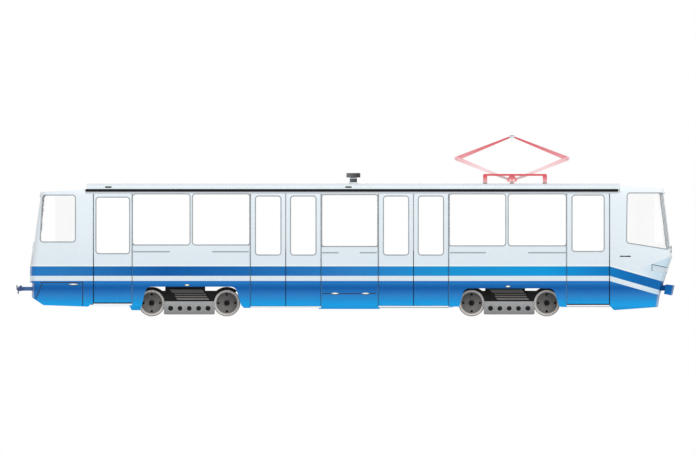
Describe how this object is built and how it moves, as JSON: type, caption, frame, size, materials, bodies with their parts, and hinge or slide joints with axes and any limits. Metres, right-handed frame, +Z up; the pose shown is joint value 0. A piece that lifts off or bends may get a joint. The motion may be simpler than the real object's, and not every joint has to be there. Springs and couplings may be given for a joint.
{
  "type": "four-axle tram",
  "caption": "Single-ended four-axle tram with swivelling bogies, inward-gliding doors, hollow saloon and cab, and a folding diamond pantograph.",
  "frame": {"origin": "under the middle of the car, at the level of the lowest points of the wheel flanges", "axes": "+X along the car to the cab, +Z up, -Y to the side with the doors"},
  "size_m": [15.3598, 2.524, 4.223],
  "materials": {
    "body_paint": "gloss enamel on sheet steel and moulded ends",
    "skirt_paint": "gloss enamel",
    "gutter_paint": "satin enamel",
    "glazing": "clear toughened glass",
    "frame_paint": "satin chassis paint",
    "floor_sheet": "studded floor covering on plate",
    "coupler_paint": "satin enamel",
    "lamp_clear": "clear moulded lens",
    "lamp_red": "red moulded lens",
    "pantograph_paint": "red enamel on steel tube",
    "insulator_glaze": "glazed insulator",
    "unit_paint": "dark grey enamel",
    "seat_plastic": "moulded seat shell",
    "console_plastic": "moulded panel",
    "rail_steel": "brushed tube",
    "door_paint": "gloss enamel on pressed steel",
    "bogie_paint": "black chassis paint",
    "beam_paint": "grey enamel",
    "wheel_steel": "rolled steel, worn bright on the tread"
  },
  "bodies": {
    "body": {"side_walls": "body_paint", "rear_shell": "body_paint", "front_shell": "body_paint", "cant_rails": "body_paint", "roof": "body_paint", "skirts": "skirt_paint", "front_bumper": "skirt_paint", "gutters": "gutter_paint", "glazing": "glazing", "sills": "frame_paint", "cross_members": "frame_paint", "bolsters": "frame_paint", "underfloor_cases": "frame_paint", "floor": "floor_sheet", "step_wells": "floor_sheet", "rear_coupler": "coupler_paint", "headlamps": "lamp_clear", "tail_lamps": "lamp_red", "pantograph_base": "pantograph_paint", "insulators": "insulator_glaze", "roof_vent": "unit_paint", "seats": "seat_plastic", "cab_console": "console_plastic", "cab_partition": "console_plastic", "grab_rails": "rail_steel"},
    "door_rear_arms": {"door_rear_post": "rail_steel"},
    "door_rear": {"door_rear_leaf": "door_paint", "door_rear_glass": "glazing"},
    "door_mid_rear_low_arms": {"door_mid_rear_low_post": "rail_steel"},
    "door_mid_rear_low": {"door_mid_rear_low_leaf": "door_paint", "door_mid_rear_low_glass": "glazing"},
    "door_mid_rear_high_arms": {"door_mid_rear_high_post": "rail_steel"},
    "door_mid_rear_high": {"door_mid_rear_high_leaf": "door_paint", "door_mid_rear_high_glass": "glazing"},
    "door_mid_front_low_arms": {"door_mid_front_low_post": "rail_steel"},
    "door_mid_front_low": {"door_mid_front_low_leaf": "door_paint", "door_mid_front_low_glass": "glazing"},
    "door_mid_front_high_arms": {"door_mid_front_high_post": "rail_steel"},
    "door_mid_front_high": {"door_mid_front_high_leaf": "door_paint", "door_mid_front_high_glass": "glazing"},
    "door_front_arms": {"door_front_post": "rail_steel"},
    "door_front": {"door_front_leaf": "door_paint", "door_front_glass": "glazing"},
    "bogie_rear": {"bogie_rear_frame": "bogie_paint", "bogie_rear_beams": "beam_paint", "bogie_rear_springs": "beam_paint", "bogie_rear_motors": "bogie_paint"},
    "bogie_rear_wheels_a": {"bogie_rear_wheelset_a": "wheel_steel"},
    "bogie_rear_wheels_b": {"bogie_rear_wheelset_b": "wheel_steel"},
    "bogie_front": {"bogie_front_frame": "bogie_paint", "bogie_front_beams": "beam_paint", "bogie_front_springs": "beam_paint", "bogie_front_motors": "bogie_paint"},
    "bogie_front_wheels_a": {"bogie_front_wheelset_a": "wheel_steel"},
    "bogie_front_wheels_b": {"bogie_front_wheelset_b": "wheel_steel"},
    "pantograph_lower_front": {"pantograph_lower_front": "pantograph_paint"},
    "pantograph_upper_front": {"pantograph_upper_front": "pantograph_paint"},
    "pantograph_lower_rear": {"pantograph_lower_rear": "pantograph_paint"},
    "pantograph_upper_rear": {"pantograph_upper_rear": "pantograph_paint"},
    "pantograph_head": {"pantograph_head": "pantograph_paint"}
  },
  "joints": [
    {"name": "door_rear_open", "type": "hinge", "parent": "body", "child": "door_rear_arms", "pos_m": [-5.895, -1.188, 1.5], "axis": [0, 0, 1], "range_deg": [0, 90]},
    {"name": "door_rear_turn", "type": "hinge", "parent": "door_rear_arms", "child": "door_rear", "pos_m": [-5.429, -1.188, 1.5], "axis": [0, 0, 1], "range_deg": [-180, 0]},
    {"name": "door_mid_rear_low_open", "type": "hinge", "parent": "body", "child": "door_mid_rear_low_arms", "pos_m": [-2.232, -1.188, 1.5], "axis": [0, 0, 1], "range_deg": [0, 90]},
    {"name": "door_mid_rear_low_turn", "type": "hinge", "parent": "door_mid_rear_low_arms", "child": "door_mid_rear_low", "pos_m": [-1.803, -1.188, 1.5], "axis": [0, 0, 1], "range_deg": [-180, 0]},
    {"name": "door_mid_rear_high_open", "type": "hinge", "parent": "body", "child": "door_mid_rear_high_arms", "pos_m": [-0.556, -1.188, 1.5], "axis": [0, 0, -1], "range_deg": [0, 90]},
    {"name": "door_mid_rear_high_turn", "type": "hinge", "parent": "door_mid_rear_high_arms", "child": "door_mid_rear_high", "pos_m": [-0.985, -1.188, 1.5], "axis": [0, 0, -1], "range_deg": [-180, 0]},
    {"name": "door_mid_front_low_open", "type": "hinge", "parent": "body", "child": "door_mid_front_low_arms", "pos_m": [0.754, -1.188, 1.5], "axis": [0, 0, 1], "range_deg": [0, 90]},
    {"name": "door_mid_front_low_turn", "type": "hinge", "parent": "door_mid_front_low_arms", "child": "door_mid_front_low", "pos_m": [1.18025, -1.188, 1.5], "axis": [0, 0, 1], "range_deg": [-180, 0]},
    {"name": "door_mid_front_high_open", "type": "hinge", "parent": "body", "child": "door_mid_front_high_arms", "pos_m": [2.419, -1.188, 1.5], "axis": [0, 0, -1], "range_deg": [0, 90]},
    {"name": "door_mid_front_high_turn", "type": "hinge", "parent": "door_mid_front_high_arms", "child": "door_mid_front_high", "pos_m": [1.99275, -1.188, 1.5], "axis": [0, 0, -1], "range_deg": [-180, 0]},
    {"name": "door_front_open", "type": "hinge", "parent": "body", "child": "door_front_arms", "pos_m": [6.175, -1.188, 1.5], "axis": [0, 0, -1], "range_deg": [0, 90]},
    {"name": "door_front_turn", "type": "hinge", "parent": "door_front_arms", "child": "door_front", "pos_m": [5.66, -1.188, 1.5], "axis": [0, 0, -1], "range_deg": [-180, 0]},
    {"name": "bogie_rear_swivel", "type": "hinge", "parent": "body", "child": "bogie_rear", "pos_m": [-3.644, 0, 0.7], "axis": [0, 0, 1], "range_deg": [-10, 10]},
    {"name": "bogie_rear_roll_a", "type": "hinge", "parent": "bogie_rear", "child": "bogie_rear_wheels_a", "pos_m": [-4.519, 0, 0.313], "axis": [0, 1, 0], "continuous": true},
    {"name": "bogie_rear_roll_b", "type": "hinge", "parent": "bogie_rear", "child": "bogie_rear_wheels_b", "pos_m": [-2.769, 0, 0.313], "axis": [0, 1, 0], "continuous": true},
    {"name": "bogie_front_swivel", "type": "hinge", "parent": "body", "child": "bogie_front", "pos_m": [3.819, 0, 0.7], "axis": [0, 0, 1], "range_deg": [-10, 10]},
    {"name": "bogie_front_roll_a", "type": "hinge", "parent": "bogie_front", "child": "bogie_front_wheels_a", "pos_m": [2.944, 0, 0.313], "axis": [0, 1, 0], "continuous": true},
    {"name": "bogie_front_roll_b", "type": "hinge", "parent": "bogie_front", "child": "bogie_front_wheels_b", "pos_m": [4.694, 0, 0.313], "axis": [0, 1, 0], "continuous": true},
    {"name": "pantograph_front_raise", "type": "hinge", "parent": "body", "child": "pantograph_lower_front", "pos_m": [3.924, 0, 3.175], "axis": [0, -1, 0], "range_deg": [-17, 38]},
    {"name": "pantograph_front_knee", "type": "hinge", "parent": "pantograph_lower_front", "child": "pantograph_upper_front", "pos_m": [5.174, 0, 3.679], "axis": [0, -1, 0], "range_deg": [-76, 34]},
    {"name": "pantograph_rear_raise", "type": "hinge", "parent": "body", "child": "pantograph_lower_rear", "pos_m": [3.844, 0, 3.175], "axis": [0, 1, 0], "range_deg": [-17, 38]},
    {"name": "pantograph_rear_knee", "type": "hinge", "parent": "pantograph_lower_rear", "child": "pantograph_upper_rear", "pos_m": [2.594, 0, 3.679], "axis": [0, 1, 0], "range_deg": [-76, 34]},
    {"name": "pantograph_head_level", "type": "hinge", "parent": "pantograph_upper_front", "child": "pantograph_head", "pos_m": [3.924, 0, 4.183], "axis": [0, -1, 0], "range_deg": [-17, 38]}
  ],
  "couplings": [
    {"joint": "door_rear_turn", "follows": "door_rear_open", "ratio": -2},
    {"joint": "door_mid_rear_low_turn", "follows": "door_mid_rear_low_open", "ratio": -2},
    {"joint": "door_mid_rear_high_open", "follows": "door_mid_rear_low_open", "ratio": 1},
    {"joint": "door_mid_rear_high_turn", "follows": "door_mid_rear_low_open", "ratio": -2},
    {"joint": "door_mid_front_low_turn", "follows": "door_mid_front_low_open", "ratio": -2},
    {"joint": "door_mid_front_high_open", "follows": "door_mid_front_low_open", "ratio": 1},
    {"joint": "door_mid_front_high_turn", "follows": "door_mid_front_low_open", "ratio": -2},
    {"joint": "door_front_turn", "follows": "door_front_open", "ratio": -2},
    {"joint": "pantograph_front_knee", "follows": "pantograph_front_raise", "ratio": -2},
    {"joint": "pantograph_rear_raise", "follows": "pantograph_front_raise", "ratio": 1},
    {"joint": "pantograph_rear_knee", "follows": "pantograph_front_raise", "ratio": -2},
    {"joint": "pantograph_head_level", "follows": "pantograph_front_raise", "ratio": 1}
  ]
}
